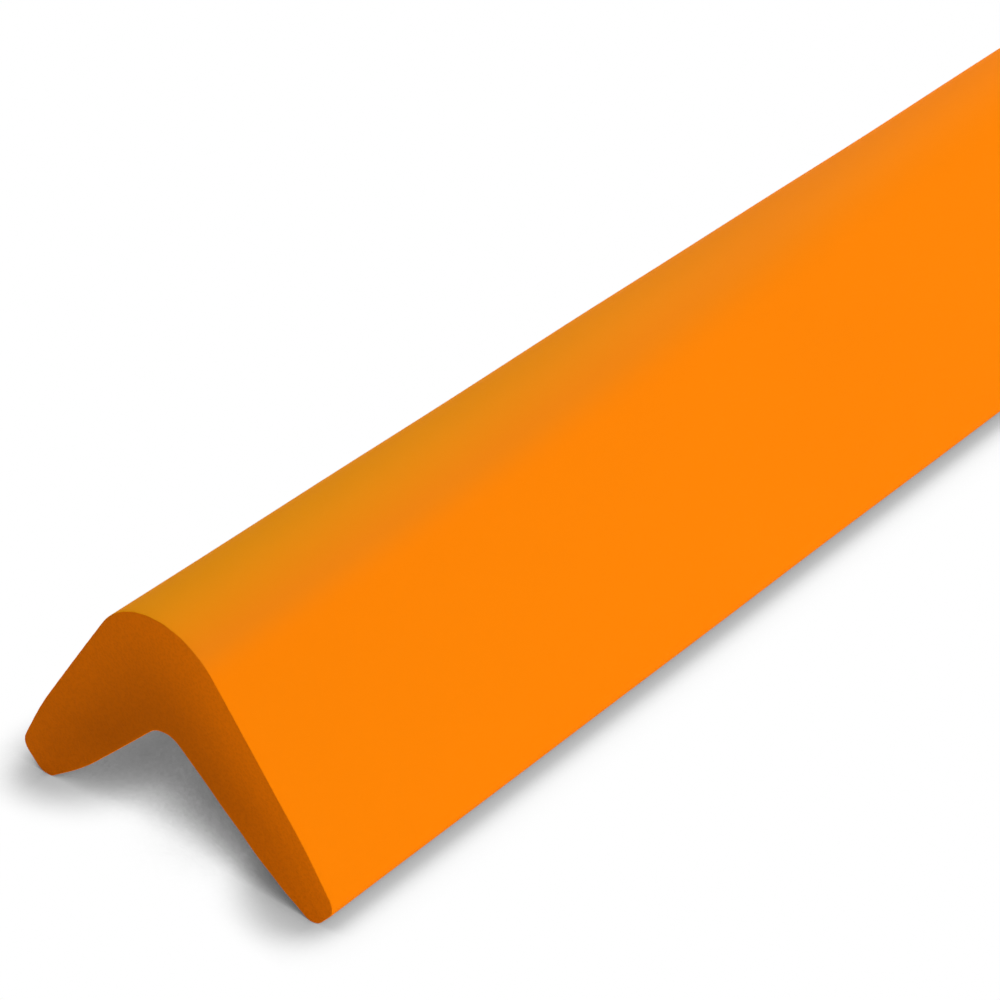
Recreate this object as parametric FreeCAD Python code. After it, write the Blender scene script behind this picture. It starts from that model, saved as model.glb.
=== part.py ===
import FreeCAD, Part
import math
import os

# A corner guard: one length of soft foam moulding that covers an outside wall corner.
# X runs along the length, Y across the section and Z up. The guard stands on its two lips.

# Driving dimensions, in millimetres and degrees
guard_length = 1000.0        # one stock length, cut square at both ends
glue_angle = 95.0            # between the two inner faces, a little wider than a square corner
wall_reach = 35.0            # wall corner to the end of a lip, along an inner face
nose_thickness = 19.5        # foam in front of the wall corner, from the notch to the crest
nose_radius = 13.0           # the rounded nose
notch_radius = 4.5           # inside corner between the two inner faces
leg_thickness = 11.0         # foam on the wall where a leg runs into its lip
lip_length = 10.0            # last stretch of a leg, where its outer and inner faces turn
lip_thickness = 6.5          # end of a lip, before its two long edges are rounded
lip_lift = 1.4               # height of the lip end above the wall
lip_edge_radius = 2.5        # the two long edges of a lip
flank_turn_radius = 80.0     # gentle turn of the outer flank into the lip
relief_turn_radius = 60.0    # gentle turn of the inner face as it lifts off the wall
side_share = 0.95            # most of a straight side that the arcs at its two ends may use up


def mirrored(point):
    return FreeCAD.Vector(point.x, -point.y, point.z)


def rounded_outline(corners):
    # Closed wire of straight sides. Each corner is a point and the radius of its tangent arc.
    # Two arcs that ask for more than the side between them shrink to share it.
    count = len(corners)
    points = [point for point, radius in corners]
    sides = [points[(i + 1) % count] - points[i] for i in range(count)]
    half_turns = [sides[i - 1].getAngle(sides[i]) / 2 for i in range(count)]
    setbacks = [radius * math.tan(half_turns[i]) for i, (point, radius) in enumerate(corners)]
    fits = []
    for i in range(count):
        asked = setbacks[i] + setbacks[(i + 1) % count]
        fits.append(min(1.0, side_share * sides[i].Length / asked))
    arcs = []
    for i, corner in enumerate(points):
        setback = setbacks[i] * min(fits[i - 1], fits[i])
        start = corner - FreeCAD.Vector(sides[i - 1]).normalize() * setback
        end = corner + FreeCAD.Vector(sides[i]).normalize() * setback
        chord_middle = (start + end) / 2
        bulge = math.cos(half_turns[i]) / (1 + math.cos(half_turns[i]))
        middle = chord_middle + (corner - chord_middle) * bulge
        arcs.append((start, middle, end))
    edges = []
    for i, (start, middle, end) in enumerate(arcs):
        edges.append(Part.makeLine(arcs[i - 1][2], start))
        edges.append(Part.Arc(start, middle, end).toShape())
    return Part.Wire(edges)


# Sharp corners of one half of the section, about the wall corner that the notch sits on
half_glue = math.radians(glue_angle / 2)
down_leg = FreeCAD.Vector(0, math.sin(half_glue), -math.cos(half_glue))
off_wall = FreeCAD.Vector(0, math.cos(half_glue), math.sin(half_glue))
notch = FreeCAD.Vector(0, 0, 0)
relief = down_leg * (wall_reach - lip_length)
lip_inner = down_leg * wall_reach + off_wall * lip_lift
lip_outer = lip_inner + off_wall * lip_thickness
flank_turn = relief + off_wall * leg_thickness

# The flank is the tangent from its turn to the nose circle, and the two flanks meet above the crest
notch_top = notch_radius * (1 - 1 / math.sin(half_glue))
nose_centre = FreeCAD.Vector(0, 0, notch_top + nose_thickness - nose_radius)
to_turn = flank_turn - nose_centre
half_flank = math.atan2(to_turn.z, to_turn.y) + math.acos(nose_radius / to_turn.Length)
nose = nose_centre + FreeCAD.Vector(0, 0, nose_radius / math.sin(half_flank))

right_half = [
    (flank_turn, flank_turn_radius),
    (lip_outer, lip_edge_radius),
    (lip_inner, lip_edge_radius),
    (relief, relief_turn_radius),
]
left_half = [(mirrored(point), radius) for point, radius in reversed(right_half)]
outline = rounded_outline([(nose, nose_radius)] + right_half + [(notch, notch_radius)] + left_half)

# The section is carried along the whole length, and the lips are set on the floor
section = Part.Face(outline)
lowest = section.optimalBoundingBox(False, False).ZMin
section.translate(FreeCAD.Vector(-guard_length / 2, 0, -lowest))
corner_guard = section.extrude(FreeCAD.Vector(guard_length, 0, 0))

os.makedirs("parts", exist_ok=True)
corner_guard.exportStep("parts/corner_guard.step")
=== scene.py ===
import math

import bpy
import numpy as np
from mathutils import Matrix, Vector


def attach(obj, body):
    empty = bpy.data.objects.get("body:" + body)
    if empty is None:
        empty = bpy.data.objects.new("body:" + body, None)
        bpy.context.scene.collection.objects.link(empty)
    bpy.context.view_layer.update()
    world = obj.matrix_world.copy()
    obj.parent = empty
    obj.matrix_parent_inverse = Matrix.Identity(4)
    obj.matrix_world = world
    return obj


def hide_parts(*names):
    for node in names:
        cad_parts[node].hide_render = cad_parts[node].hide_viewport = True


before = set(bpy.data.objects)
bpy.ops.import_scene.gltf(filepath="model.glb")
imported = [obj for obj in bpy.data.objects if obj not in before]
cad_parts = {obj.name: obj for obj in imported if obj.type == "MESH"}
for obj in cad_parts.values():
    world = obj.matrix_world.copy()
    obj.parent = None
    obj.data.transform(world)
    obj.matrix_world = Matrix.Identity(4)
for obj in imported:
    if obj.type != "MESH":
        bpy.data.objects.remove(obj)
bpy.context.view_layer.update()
mm = 0.001
print("frame loaded:", sorted(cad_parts))


# small helpers

noiseSpan = (0.3, 0.7)           # most of a noise texture's values lie between these


def hexLinear(code):
    # sRGB hex to linear: below 0.04045 a straight line, above it a power of 2.4
    srgb = np.array([int(code[i:i + 2], 16) for i in (1, 3, 5)]) / 255.0
    linear = np.where(srgb <= 0.04045, srgb / 12.92, ((srgb + 0.055) / 1.055) ** 2.4)
    return (*linear.tolist(), 1.0)


def addNode(tree, kind, values=None, links=None):
    # one node: values go to its sockets or settings, links bring a (node, output) pair to a socket
    node = tree.nodes.new(kind)
    for key, value in (values or {}).items():
        if isinstance(key, int) or key in node.inputs:
            node.inputs[key].default_value = value
        else:
            setattr(node, key, value)
    for key, (source, output) in (links or {}).items():
        tree.links.new(source.outputs[output], node.inputs[key])
    return node


def newMaterial(name):
    material = bpy.data.materials.new(name)
    material.use_nodes = True
    material.node_tree.nodes.clear()
    return material, material.node_tree


def perMetre(sizeMm):
    # texture scale that makes one feature about sizeMm wide on Object coordinates
    return 1000.0 / sizeMm


# the guard: a section carried along a straight path, with both cut ends filled in

guard = {
    "length": 1000.0,            # mm, and degrees for the angles
    "glueAngle": 95.0,
    "wallReach": 35.0,
    "noseThickness": 19.5,
    "noseRadius": 13.0,
    "notchRadius": 4.5,
    "legThickness": 11.0,
    "lipLength": 10.0,
    "lipThickness": 6.5,
    "lipLift": 1.4,
    "lipEdgeRadius": 2.5,
    "flankTurnRadius": 80.0,
    "reliefTurnRadius": 60.0,
    "halfRing": 160,             # steps over the outside, and as many along the inside
    "stationStep": 8.0,          # spacing of the sections along the length
    "cutSteps": 22,              # steps over the cut face from the inside to the outside
    "cutEdge": 0.08,             # softness of the cut edge
    "edgeSections": 4,           # sections that round it
    "endBand": 1.5,              # the knife's marks fade out over this much of the length
    "sharpAngle": 50.0,          # edges that turn more than this are shaded sharp
    "ripple": 0.09,              # how far the moulded skin wanders
    "slowWave": 287.0,           # and the lengths of its waves
    "quickWave": 119.0,
    "fineWave": 53.0,
    "bladeRipple": 0.05,         # ridges the knife leaves on a cut end
    "bladePath": (0.86, -0.51),  # the way that the knife was drawn, across and down
    "bladeSpacing": 2.6,         # from ridge to ridge
    "bladeBow": 21.0,            # the slow bow of the cut
    "settle": 0.05,              # how far the soft lips flatten on the floor
    "noseShift": 4.5,            # painted shade over the nose, tinted yellower, is strongest this far past the crest
    "noseReach": 20.0,           # and is gone this far from there, measured over the skin
    "noseFade": 215.0,           # it fades this far from either cut end
    "noseRest": 0.15,            # to this share, which is left along the middle
}


def sectionCorners(g):
    # sharp corners about the wall corner: the leg runs down at half the glue angle, thickness is square
    # to it, and the flank is the tangent from its turn to the nose circle
    half = math.radians(g["glueAngle"] / 2)
    downLeg = np.array([math.sin(half), -math.cos(half)])
    offWall = np.array([math.cos(half), math.sin(half)])
    relief = downLeg * (g["wallReach"] - g["lipLength"])
    lipInner = downLeg * g["wallReach"] + offWall * g["lipLift"]
    lipOuter = lipInner + offWall * g["lipThickness"]
    flankTurn = relief + offWall * g["legThickness"]
    noseCentre = g["notchRadius"] * (1 - 1 / math.sin(half)) + g["noseThickness"] - g["noseRadius"]
    y, z = flankTurn[0], flankTurn[1] - noseCentre
    halfFlank = math.atan2(z, y) + math.acos(g["noseRadius"] / math.hypot(y, z))
    nose = np.array([0.0, noseCentre + g["noseRadius"] / math.sin(halfFlank)])
    right = np.array([flankTurn, lipOuter, lipInner, relief])
    left = right[::-1] * [-1, 1]
    points = np.vstack([nose, right, [0.0, 0.0], left])
    rightRadii = [g["flankTurnRadius"], g["lipEdgeRadius"], g["lipEdgeRadius"], g["reliefTurnRadius"]]
    radii = np.array([g["noseRadius"], *rightRadii, g["notchRadius"], *rightRadii[::-1]])
    return points, radii


def roundedLoop(points, radii, arcSteps=64):
    # each corner becomes the arc that touches both sides: setback is radius times the tangent of half
    # the turn, and the arc swings from the incoming normal to the outgoing one
    before = points - np.roll(points, 1, axis=0)
    after = np.roll(points, -1, axis=0) - points
    before /= np.linalg.norm(before, axis=1, keepdims=True)
    after /= np.linalg.norm(after, axis=1, keepdims=True)
    cross = before[:, 0] * after[:, 1] - before[:, 1] * after[:, 0]
    turn = np.arctan2(cross, np.sum(before * after, axis=1))
    setback = radii * np.tan(np.abs(turn) / 2)
    start = points - before * setback[:, None]
    inward = np.stack([-before[:, 1], before[:, 0]], axis=1) * np.sign(turn)[:, None]
    centre = start + inward * radii[:, None]
    swing = turn[:, None] * np.linspace(0, 1, arcSteps)[None, :]
    spoke = (start - centre)[:, None, :]
    cosine, sine = np.cos(swing)[..., None], np.sin(swing)[..., None]
    quarter = np.stack([-spoke[..., 1], spoke[..., 0]], axis=-1)
    return centre[:, None, :] + spoke * cosine + quarter * sine


def alongLoop(loop, distances):
    # points of a closed line at the given distances from its first point
    closed = np.vstack([loop, loop[:1]])
    reach = np.concatenate([[0], np.cumsum(np.linalg.norm(np.diff(closed, axis=0), axis=1))])
    where = np.mod(distances, reach[-1])
    return np.stack([np.interp(where, reach, closed[:, i]) for i in (0, 1)], axis=1), reach


def guardRing(g):
    # one ring of the section: half of its points over the outside from lip to lip, the rest back inside.
    # It is split at the middles of the two lip ends, and both runs are divided evenly
    arcs = roundedLoop(*sectionCorners(g))
    count = arcs.shape[1]
    loop = arcs.reshape(-1, 2)
    reach = alongLoop(loop, np.zeros(1))[1]
    lipEnds = np.array([3, 8]) * count           # corners 3 and 8 come just after the two lip ends
    lipRight, lipLeft = (reach[lipEnds - 1] + reach[lipEnds]) / 2
    steps = g["halfRing"]
    outside = np.linspace(lipLeft, reach[-1] + lipRight, steps + 1)
    inside = np.linspace(lipRight, lipLeft, steps + 1)
    ring = alongLoop(loop, np.concatenate([outside[:-1], inside[:-1]]))[0]
    ring[:, 1] -= loop[:, 1].min()
    return ring


def ringNormals(ring):
    # the tangent turned a quarter, pointing out of the foam
    tangent = np.roll(ring, -1, axis=0) - np.roll(ring, 1, axis=0)
    tangent /= np.linalg.norm(tangent, axis=1, keepdims=True)
    return np.stack([-tangent[:, 1], tangent[:, 0]], axis=1)


def stations(g):
    # places along the length: even steps, and a few close ones on a quarter circle at each cut edge
    half = g["length"] / 2
    close = g["edgeSections"]
    steps = int(round(g["length"] / g["stationStep"]))
    middle = np.linspace(-half + g["endBand"], half - g["endBand"], steps)
    edge = np.linspace(0, np.pi / 2, close)
    near = -half + g["cutEdge"] * (1 - np.sin(edge))[::-1]
    place = np.concatenate([near, middle, -near[::-1]])
    inset = np.zeros_like(place)
    inset[:close] = g["cutEdge"] * (1 - np.cos(edge))[::-1]
    inset[-close:] = inset[:close][::-1]
    return place, inset


def skinRipple(x, share, g):
    # three waves along the length, each smaller than the one before, whose phase drifts round the
    # section. Their sum is a little larger over nose and notch
    turn = 2 * np.pi * share
    slow = np.sin(2 * np.pi * x / g["slowWave"] + 1.2 * np.cos(2 * turn))
    quick = 0.5 * np.sin(2 * np.pi * x / g["quickWave"] + 3.54 + 2.2 * np.cos(turn))
    fine = 0.3 * np.sin(2 * np.pi * x / g["fineWave"] + 2.0 * np.sin(2 * turn))
    return g["ripple"] * (slow + quick + fine) * (0.7 + 0.5 * np.sin(turn) ** 2)


def noseShadeBand(pastCrest, x, g):
    # painted shade on the nose, tinted yellower: a smooth hump over the nose, times half a cosine that falls
    # from 1 at a cut end to the share at rest
    rise = np.clip(1 - np.abs(pastCrest - g["noseShift"]) / g["noseReach"], 0, 1)
    fade = np.clip((g["length"] / 2 - np.abs(x)) / g["noseFade"], 0, 1)
    kept = g["noseRest"] + (1 - g["noseRest"]) * (0.5 + 0.5 * np.cos(np.pi * fade))
    return rise ** 2 * (3 - 2 * rise) * kept


def bladeMarks(y, z, g):
    # a knife drawn across the section: wandering ridges square to its path, on a shallow bow. The sum
    # is set back so that nothing stands past the cut length
    toY, toZ = g["bladePath"]
    along = toY * y + toZ * z
    across = toY * z - toZ * y
    ridges = np.sin(2 * np.pi * along / g["bladeSpacing"] + 0.6 * np.sin(across / 5.0))
    bow = np.sin(along / g["bladeBow"] + 0.5)
    return g["bladeRipple"] * (0.5 * ridges + 1.5 * bow - 2.0)


def sideSkin(ring, place, inset, g):
    # every ring point goes to every station, moved along its normal by the ripple less the edge's inset
    count = len(ring)
    x = np.repeat(place[:, None], count, axis=1)
    move = skinRipple(x, np.arange(count)[None, :] / count, g) - inset[:, None]
    side = ring[None] + ringNormals(ring)[None] * move[..., None]
    return np.concatenate([x[..., None], side], axis=2)


def cutPoints(endRing, half, rows):
    # straight lines from the inner run of an end ring to its outer run, without their own end points
    columns = np.arange(1, half)
    inner = endRing[len(endRing) - columns]
    outer = endRing[columns]
    return (inner[:, None] + (outer - inner)[:, None] * rows[None, 1:-1, None]).reshape(-1, 3)


def sideFaces(sections, count):
    # a grid of four-sided faces, station to station and all the way round
    i, j = np.meshgrid(np.arange(sections - 1) * count, np.arange(count), indexing="ij")
    nextJ = (j + 1) % count
    return np.stack([i + j, i + count + j, i + count + nextJ, i + nextJ], axis=-1).reshape(-1, 4)


def cutFaces(ringStart, newStart, half, rowCount):
    # a grid that shares the end ring's points along both runs, and closes in a fan at each lip
    columns = np.arange(1, half)
    body = np.empty((half - 1, rowCount), int)
    body[:, 0] = ringStart + 2 * half - columns
    body[:, -1] = ringStart + columns
    body[:, 1:-1] = newStart + np.arange((half - 1) * (rowCount - 2)).reshape(half - 1, -1)
    quads = np.stack([body[:-1, :-1], body[1:, :-1], body[1:, 1:], body[:-1, 1:]], axis=-1).reshape(-1, 4)
    lip = np.full(rowCount - 1, ringStart)
    first = np.column_stack([lip, body[0, :-1], body[0, 1:]])
    last = np.column_stack([lip + half, body[-1, 1:], body[-1, :-1]])
    return quads, np.vstack([first, last])


def buildGuard(g):
    # the skin's grid and the two cut ends as one closed mesh
    ring = guardRing(g)
    half, count = g["halfRing"], len(ring)
    place, inset = stations(g)
    sections = len(place)
    # rows over the cut face, closer together next to the skin
    rows = np.concatenate([[0, 0.02], np.linspace(0.06, 0.94, g["cutSteps"] - 3), [0.98, 1]])
    side = sideSkin(ring, place, inset, g)
    cuts = [cutPoints(side[end], half, rows) for end in (0, -1)]
    skinCount, cutCount = sections * count, len(cuts[0])
    xyz = np.vstack([side.reshape(-1, 3), *cuts])

    # the knife's marks, whole on a cut end
    fromEnd = g["length"] / 2 - np.abs(xyz[:, 0])
    fade = np.clip(1 - fromEnd / g["endBand"], 0, 1)
    xyz[:, 0] += np.sign(xyz[:, 0]) * bladeMarks(xyz[:, 1], xyz[:, 2], g) * fade

    # the lips sink by their own softness and lie flat where they touch
    xyz[:, 2] = np.maximum(xyz[:, 2] - g["settle"], 0)

    skinQuads = sideFaces(sections, count)
    nearQuads, nearFans = cutFaces(0, skinCount, half, len(rows))
    farQuads, farFans = cutFaces(skinCount - count, skinCount + cutCount, half, len(rows))
    faces = [skinQuads, nearQuads[:, ::-1], farQuads, nearFans[:, ::-1], farFans]
    mesh = bpy.data.meshes.new("foamGuard")
    mesh.from_pydata((xyz * mm).tolist(), [], [face for part in faces for face in part.tolist()])
    isCut = np.ones(len(mesh.polygons), np.int32)
    isCut[:len(skinQuads)] = 0
    mesh.polygons.foreach_set("material_index", isCut)
    mesh.polygons.foreach_set("use_smooth", np.ones(len(isCut), bool))
    mesh.set_sharp_from_angle(angle=math.radians(g["sharpAngle"]))

    # what the materials read: the painted shade on the nose, nearness to the outer skin, depth under the
    # skin in mm
    onOutside = np.arange(count) <= half
    skinStep = np.linalg.norm(ring[half // 2] - ring[half // 2 - 1])
    pastCrest = (np.arange(count) - half / 2) * skinStep
    paintedNoseShade = noseShadeBand(pastCrest[None, :], place[:, None], g) * onOutside
    cutDepth = [np.min(np.linalg.norm(cut[:, None] - ring[None], axis=2), axis=1)
                for cut in np.split(xyz[skinCount:, 1:], 2)]
    layers = {
        "noseShade": (paintedNoseShade.ravel(), np.zeros(2 * cutCount)),
        "outerShare": (np.tile(onOutside, sections), np.tile(rows[1:-1], 2 * (half - 1))),
        "skinDepth": (np.zeros(skinCount), *cutDepth),
    }
    for name, parts in layers.items():
        layer = mesh.attributes.new(name, "FLOAT", "POINT")
        layer.data.foreach_set("value", np.concatenate(parts).astype(np.float32))

    piece = bpy.data.objects.new("foamGuard", mesh)
    bpy.context.scene.collection.objects.link(piece)
    print("guard built:", len(mesh.vertices), "points,", len(mesh.polygons), "faces")
    return piece


# materials

skin = {
    "flank": "#FF8500",          # orange pigment
    "shoulder": "#F58710",       # the same, duller where it turns into the nose: painted shade
    "nose": "#F29706",           # duller and yellower over the nose: painted shade with a yellow tint
    "shoulderShade": 0.3,         # share of the nose's painted shade at which the shoulder's is reached
    "mottle": 45.0,              # mm, slow change of tone
    "mottleRange": (0.985, 1.01),
    "grain": 0.7,                # mm, drawn coarser than the real 0.2 mm so that it shows
    "grainDepth": 0.012,         # mm
    "grainStrength": 0.6,
    "roughness": (0.7, 0.8),
    "ior": 1.5,
    "gloss": 0.03,               # foam reflects next to nothing
}


def mouldedSkin(s):
    # polyurethane foam, moulded so that it closes to a skin: dense pigment, no gloss, a soft even tone
    # with the mould's fine grain. Over the shoulder and nose the colour is painted shade, tinted yellower on
    # the nose
    material, tree = newMaterial("polyurethaneMouldedSkin")
    place = addNode(tree, "ShaderNodeTexCoord")
    noseShade = addNode(tree, "ShaderNodeAttribute", {"attribute_name": "noseShade"})
    # painted shade: the shoulder's and the nose's colours darken the skin where it turns over the nose
    onShoulder = addNode(tree, "ShaderNodeMapRange", {
        "interpolation_type": "SMOOTHSTEP", "From Min": 0.0, "From Max": s["shoulderShade"],
    }, {"Value": (noseShade, "Fac")})
    onNose = addNode(tree, "ShaderNodeMapRange", {
        "From Min": s["shoulderShade"], "From Max": 1.0,
    }, {"Value": (noseShade, "Fac")})
    dulled = addNode(tree, "ShaderNodeMix", {
        "data_type": "RGBA", 6: hexLinear(s["flank"]), 7: hexLinear(s["shoulder"]),
    }, {0: (onShoulder, "Result")})
    colour = addNode(tree, "ShaderNodeMix", {
        "data_type": "RGBA", 7: hexLinear(s["nose"]),
    }, {0: (onNose, "Result"), 6: (dulled, 2)})
    mottle = addNode(tree, "ShaderNodeTexNoise", {
        "Scale": perMetre(s["mottle"]), "Detail": 3.0, "Roughness": 0.5,
    }, {"Vector": (place, "Object")})
    tone = addNode(tree, "ShaderNodeMapRange", {
        "From Min": noiseSpan[0], "From Max": noiseSpan[1],
        "To Min": s["mottleRange"][0], "To Max": s["mottleRange"][1],
    }, {"Value": (mottle, "Fac")})
    toned = addNode(tree, "ShaderNodeHueSaturation", {}, {"Value": (tone, "Result"), "Color": (colour, 2)})
    grain = addNode(tree, "ShaderNodeTexNoise", {
        "Scale": perMetre(s["grain"]), "Detail": 2.0, "Roughness": 0.6,
    }, {"Vector": (place, "Object")})
    roughness = addNode(tree, "ShaderNodeMapRange", {
        "From Min": noiseSpan[0], "From Max": noiseSpan[1],
        "To Min": s["roughness"][0], "To Max": s["roughness"][1],
    }, {"Value": (grain, "Fac")})
    bump = addNode(tree, "ShaderNodeBump", {
        "Strength": s["grainStrength"], "Distance": s["grainDepth"] * mm,
    }, {"Height": (grain, "Fac")})
    shader = addNode(tree, "ShaderNodeBsdfPrincipled", {
        "IOR": s["ior"], "Specular IOR Level": s["gloss"],
    }, {"Base Color": (toned, "Color"), "Roughness": (roughness, "Result"), "Normal": (bump, "Normal")})
    addNode(tree, "ShaderNodeOutputMaterial", {}, {"Surface": (shader, "BSDF")})
    return material


cut = {
    "rim": "#E97400",            # dense foam next to the outer skin
    "core": "#C66100",           # open cells swallow light
    "rimDepth": 0.5,             # mm, thickness of the dense layer
    "innerRim": 0.75,            # how much of the core's tone is left in the dense layer
    "outerStart": 0.05,          # share of the way to the outer skin where that tone begins to fade
    "outerLight": 0.1,           # and how much of it is left at the outer skin
    "lipCore": 0.2,              # and at the thin lips
    "coreHeight": 14.0,          # mm above the floor, where the lips' fade ends
    "legSpan": (25.0, -12.0),    # mm across, from one leg to the other
    "legRange": (0.81, 1.0),     # brightness over that span: painted shade, darker toward the leg at +Y
    "cell": 0.45,                # mm, cell size
    "cellDepth": 0.05,           # mm
    "cellStrength": 0.7,
    "cellSpan": (0.1, 0.7),      # distances from a cell's middle, in cells
    "cellRange": (0.94, 1.04),   # and the brightness there
    "roughness": 0.9,
    "ior": 1.5,
    "gloss": 0.03,
}


def knifeCutFoam(c):
    # the same foam cut with a knife: open cells give a dull, darker face with a fine speckle, and the
    # dense layer under the skin stays a little lighter. Painted shade darkens the face toward the leg at +Y
    material, tree = newMaterial("polyurethaneKnifeCut")
    place = addNode(tree, "ShaderNodeTexCoord")
    axes = addNode(tree, "ShaderNodeSeparateXYZ", {}, {"Vector": (place, "Object")})
    depth = addNode(tree, "ShaderNodeAttribute", {"attribute_name": "skinDepth"})
    outer = addNode(tree, "ShaderNodeAttribute", {"attribute_name": "outerShare"})
    under = addNode(tree, "ShaderNodeMapRange", {
        "interpolation_type": "SMOOTHSTEP", "From Min": 0.0, "From Max": c["rimDepth"],
        "To Min": c["innerRim"], "To Max": 1.0,
    }, {"Value": (depth, "Fac")})
    inward = addNode(tree, "ShaderNodeMapRange", {
        "interpolation_type": "SMOOTHSTEP", "From Min": c["outerStart"], "From Max": 1.0,
        "To Min": 1.0, "To Max": c["outerLight"],
    }, {"Value": (outer, "Fac")})
    thick = addNode(tree, "ShaderNodeMapRange", {
        "From Min": 0.0, "From Max": c["coreHeight"] * mm, "To Min": c["lipCore"], "To Max": 1.0,
    }, {"Value": (axes, "Z")})
    inCore = addNode(tree, "ShaderNodeMath", {"operation": "MULTIPLY"}, {
        0: (under, "Result"), 1: (inward, "Result"),
    })
    coreShare = addNode(tree, "ShaderNodeMath", {"operation": "MULTIPLY"}, {
        0: (inCore, "Value"), 1: (thick, "Result"),
    })
    colour = addNode(tree, "ShaderNodeMix", {
        "data_type": "RGBA", 6: hexLinear(c["rim"]), 7: hexLinear(c["core"]),
    }, {0: (coreShare, "Value")})
    cells = addNode(tree, "ShaderNodeTexVoronoi", {
        "Scale": perMetre(c["cell"]), "Randomness": 1.0,
    }, {"Vector": (place, "Object")})
    speckle = addNode(tree, "ShaderNodeMapRange", {
        "From Min": c["cellSpan"][0], "From Max": c["cellSpan"][1],
        "To Min": c["cellRange"][0], "To Max": c["cellRange"][1],
    }, {"Value": (cells, "Distance")})
    # painted shade across the cut face, from one leg to the other
    paintedLegShade = addNode(tree, "ShaderNodeMapRange", {
        "From Min": c["legSpan"][0] * mm, "From Max": c["legSpan"][1] * mm,
        "To Min": c["legRange"][0], "To Max": c["legRange"][1],
    }, {"Value": (axes, "Y")})
    tone = addNode(tree, "ShaderNodeMath", {"operation": "MULTIPLY"}, {
        0: (speckle, "Result"), 1: (paintedLegShade, "Result"),
    })
    toned = addNode(tree, "ShaderNodeHueSaturation", {}, {"Value": (tone, "Value"), "Color": (colour, 2)})
    bump = addNode(tree, "ShaderNodeBump", {
        "Strength": c["cellStrength"], "Distance": c["cellDepth"] * mm,
    }, {"Height": (cells, "Distance")})
    shader = addNode(tree, "ShaderNodeBsdfPrincipled", {
        "Roughness": c["roughness"], "IOR": c["ior"], "Specular IOR Level": c["gloss"],
    }, {"Base Color": (toned, "Color"), "Normal": (bump, "Normal")})
    addNode(tree, "ShaderNodeOutputMaterial", {}, {"Surface": (shader, "BSDF")})
    return material


foamGuard = buildGuard(guard)
foamGuard.data.materials.append(mouldedSkin(skin))
foamGuard.data.materials.append(knifeCutFoam(cut))
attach(foamGuard, "root")
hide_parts("corner_guard")
print("guard dressed")


# studio: a white floor, soft boxes beside, above and before both ends, and a faint even world

studio = {
    "floorSize": 8.0,            # m
    "shadowZone": (0.535, 0.066),    # m, half length and half width of the floor that a shadow can reach
    "skyRays": 20,               # rays that look for open sky at each point
    "floorBounce": 0.75,         # what the floor throws back on the guard
    "shadowDark": 0.112,         # the floor deep under the guard, where 1 is white
    "world": 0.05,
}
# two shadows: one close to the lips, one that spreads from under the nose. Reach in metres, the way
# that each looks for open sky, the share of open sky where it is darkest and where it ends, and the
# light left where it is darkest
shadows = {
    "contact": {"reach": 0.011, "sky": (0.8, -0.4, 1.0), "open": (0.5, 0.95), "left": 0.39},
    "spread": {"reach": 0.033, "sky": (0.5, -0.5, 1.0), "open": (0.262, 0.463), "left": 0.0},
}
# metres: middle, the point it faces, length and width, and brightness (1 is white)
lamps = {
    "sideBox": {
        "middle": (-0.276, -0.505, 0.211), "aim": (-0.276, 0, 0.02), "size": (2.5, 0.39), "bright": 2.16,
    },
    "topBox": {
        "middle": (0.139, 0.329, 0.5), "aim": (0.139, 0, 0.02), "size": (1.27, 0.75), "bright": 2.25,
    },
    "nearEndBox": {
        "middle": (-1.4, 0.09, 0.15), "aim": (-0.5, 0, 0.02), "size": (0.6, 0.6), "bright": 1.7,
    },
    "farEndBox": {
        "middle": (1.4, -0.09, 0.15), "aim": (0.5, 0, 0.02), "size": (0.6, 0.6), "bright": 1.7,
    },
}


def mattPaper(name, s, shades):
    # seen directly it is white paper that darkens only where the guard stands in the way of the open sky
    # above it; for the light that it throws back it is plain matt paper
    material, tree = newMaterial(name)
    path = addNode(tree, "ShaderNodeLightPath")
    direct = addNode(tree, "ShaderNodeMath", {"operation": "MAXIMUM"}, {
        0: (path, "Is Camera Ray"), 1: (path, "Is Glossy Ray"),
    })
    seen = addNode(tree, "ShaderNodeMath", {"operation": "MAXIMUM"}, {
        0: (direct, "Value"), 1: (path, "Is Transmission Ray"),
    })
    bounce = addNode(tree, "ShaderNodeBsdfDiffuse", {"Color": (*[s["floorBounce"]] * 3, 1)})
    white = addNode(tree, "ShaderNodeEmission", {"Strength": 1.0})
    light = []
    for shade in shades:
        sky = addNode(tree, "ShaderNodeCombineXYZ", dict(zip("XYZ", Vector(shade["sky"]).normalized())))
        openSky = addNode(tree, "ShaderNodeAmbientOcclusion", {
            "samples": s["skyRays"], "Distance": shade["reach"],
        }, {"Normal": (sky, "Vector")})
        light.append(addNode(tree, "ShaderNodeMapRange", {
            "interpolation_type": "SMOOTHSTEP", "From Min": shade["open"][0], "From Max": shade["open"][1],
            "To Min": shade["left"],
        }, {"Value": (openSky, "AO")}))
    if light:
        both = addNode(tree, "ShaderNodeMath", {"operation": "MULTIPLY"}, {
            0: (light[0], "Result"), 1: (light[1], "Result"),
        })
        shadow = addNode(tree, "ShaderNodeMapRange", {"To Min": s["shadowDark"]}, {"Value": (both, "Value")})
        tree.links.new(shadow.outputs["Result"], white.inputs["Strength"])
    mix = addNode(tree, "ShaderNodeMixShader", {}, {
        0: (seen, "Value"), 1: (bounce, "BSDF"), 2: (white, "Emission"),
    })
    addNode(tree, "ShaderNodeOutputMaterial", {}, {"Surface": (mix, "Shader")})
    return material


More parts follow.
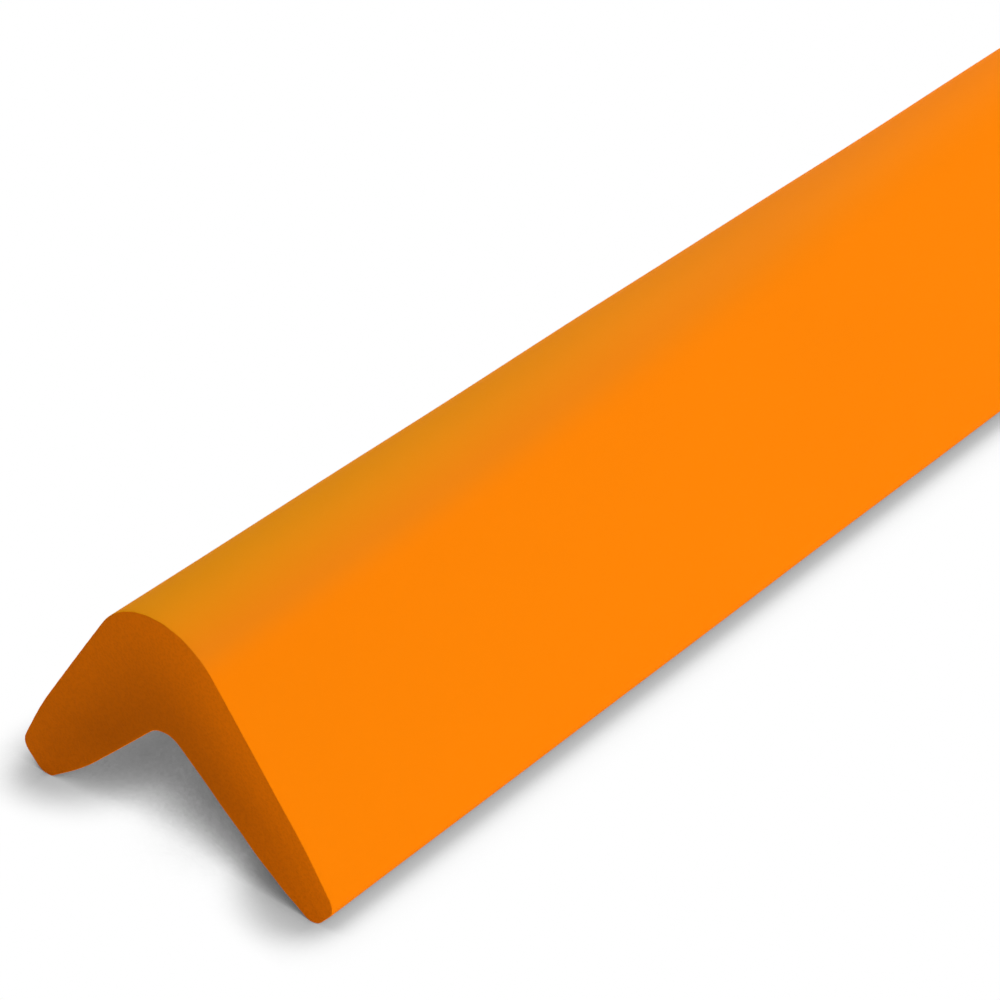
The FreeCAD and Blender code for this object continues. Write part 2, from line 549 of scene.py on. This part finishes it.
def whiteFloor(s, shades):
    # a square sheet: a rectangle round the guard, and a border that no shadow reaches
    corner = np.array([(-1, -1), (1, -1), (1, 1), (-1, 1)])
    flat = np.vstack([corner * s["shadowZone"], corner * s["floorSize"] / 2])
    border = [(4 + k, 4 + (k + 1) % 4, (k + 1) % 4, k) for k in range(4)]
    mesh = bpy.data.meshes.new("floor")
    mesh.from_pydata(np.column_stack([flat, np.zeros(len(flat))]).tolist(), [], [(0, 1, 2, 3), *border])
    mesh.polygons.foreach_set("material_index", np.array([0, 1, 1, 1, 1], np.int32))
    mesh.materials.append(mattPaper("mattPaperUnderGuard", s, shades))
    mesh.materials.append(mattPaper("mattPaper", s, []))
    floor = bpy.data.objects.new("floor", mesh)
    bpy.context.scene.collection.objects.link(floor)


def softBox(name, lamp):
    # a box of even light with its long side level; its power is brightness times pi times its area
    data = bpy.data.lights.new(name, "AREA")
    data.shape = "RECTANGLE"
    data.size, data.size_y = lamp["size"]
    data.energy = lamp["bright"] * math.pi * data.size * data.size_y
    light = bpy.data.objects.new(name, data)
    light.location = lamp["middle"]
    light.rotation_euler = (Vector(lamp["aim"]) - light.location).to_track_quat("-Z", "Y").to_euler()
    light.visible_camera = False
    bpy.context.scene.collection.objects.link(light)


def evenWorld(s):
    # white where the camera sees it, and a faint fill for the guard
    world = bpy.data.worlds.new("studio")
    world.use_nodes = True
    tree = world.node_tree
    tree.nodes.clear()
    path = addNode(tree, "ShaderNodeLightPath")
    fill = addNode(tree, "ShaderNodeBackground", {"Color": (1, 1, 1, 1), "Strength": s["world"]})
    white = addNode(tree, "ShaderNodeBackground", {"Color": (1, 1, 1, 1), "Strength": 1.0})
    mix = addNode(tree, "ShaderNodeMixShader", {}, {
        0: (path, "Is Camera Ray"), 1: (fill, "Background"), 2: (white, "Background"),
    })
    addNode(tree, "ShaderNodeOutputWorld", {}, {"Surface": (mix, "Shader")})
    bpy.context.scene.world = world


whiteFloor(studio, list(shadows.values()))
for lampName, lamp in lamps.items():
    softBox(lampName, lamp)
evenWorld(studio)
print("studio lit")


# camera: where the picture was taken from

view = {
    "place": (-0.75994, -0.29193, 0.31790),      # m
    "heading": 41.32,                            # degrees from the length, seen from above
    "down": 33.86,                               # degrees below level
    "roll": -1.69,                               # degrees about the line of sight
    "lens": 126.34,                              # mm
    "sensor": 36.0,                              # mm wide
    "nearest": 0.01,                             # m
}


def placeCamera(v):
    # the line of sight points along the heading and down, and its two square axes turn by the roll
    heading, down, roll = (math.radians(v[k]) for k in ("heading", "down", "roll"))
    flat = Vector((math.cos(heading), math.sin(heading), 0))
    side = Vector((math.sin(heading), -math.cos(heading), 0))
    up = Vector((0, 0, 1))
    forward = flat * math.cos(down) - up * math.sin(down)
    lifted = flat * math.sin(down) + up * math.cos(down)
    right = side * math.cos(roll) + lifted * math.sin(roll)
    top = lifted * math.cos(roll) - side * math.sin(roll)
    data = bpy.data.cameras.new("camera")
    data.lens = v["lens"]
    data.sensor_width = v["sensor"]
    data.clip_start = v["nearest"]
    camera = bpy.data.objects.new("camera", data)
    turned = Matrix((right, top, -forward)).transposed().to_4x4()
    camera.matrix_world = Matrix.Translation(v["place"]) @ turned
    bpy.context.scene.collection.objects.link(camera)
    bpy.context.scene.camera = camera


placeCamera(view)
bpy.context.scene.view_settings.view_transform = "Standard"
print("camera placed")
